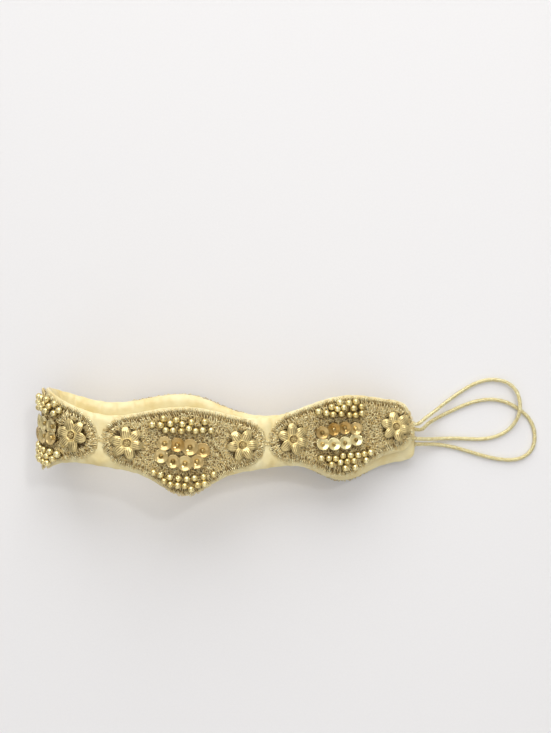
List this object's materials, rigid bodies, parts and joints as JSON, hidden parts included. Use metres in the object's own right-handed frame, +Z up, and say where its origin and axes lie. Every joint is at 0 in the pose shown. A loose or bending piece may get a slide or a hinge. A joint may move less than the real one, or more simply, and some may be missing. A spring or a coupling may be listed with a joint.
{
  "type": "beaded headband",
  "caption": "Folded padded satin headband with an embroidered trim of beads, cupped sequins and stamped flowers, and an elastic cord loop at each end.",
  "frame": {"origin": "under the middle of the folded band, on the surface that it lies on, cord loops left aside", "axes": "+X from the fold to the two ends and the cord loops, +Y across the band to its plain upper edge, +Z up from the lying half to the upper half"},
  "size_m": [0.2626, 0.0571, 0.0511],
  "materials": {
    "cream_satin": "satin",
    "metallic_thread": "metallic thread",
    "gold_beads": "polished",
    "pale_sequins": "pearly metallic",
    "stamped_gold": "satin",
    "metallic_cord": "metallic braid"
  },
  "bodies": {
    "root": {"padded_band": "cream_satin", "embroidered_trim": "metallic_thread", "cord_loop_upper": "metallic_cord", "cord_loop_lower": "metallic_cord", "upper_beads_1": "gold_beads", "lower_beads_1": "gold_beads", "upper_beads_2": "gold_beads", "lower_beads_2": "gold_beads", "upper_beads_3": "gold_beads", "lower_beads_3": "gold_beads", "upper_beads_4": "gold_beads", "lower_beads_4": "gold_beads", "upper_beads_5": "gold_beads", "lower_beads_5": "gold_beads", "sequins_1": "pale_sequins", "sequins_2": "pale_sequins", "sequins_3": "pale_sequins", "sequins_4": "pale_sequins", "sequins_5": "pale_sequins", "flower_1a": "stamped_gold", "flower_1b": "stamped_gold", "flower_2a": "stamped_gold", "flower_2b": "stamped_gold", "flower_3a": "stamped_gold", "flower_3b": "stamped_gold", "flower_4a": "stamped_gold", "flower_4b": "stamped_gold", "flower_5a": "stamped_gold", "flower_5b": "stamped_gold"}
  },
  "joints": []
}
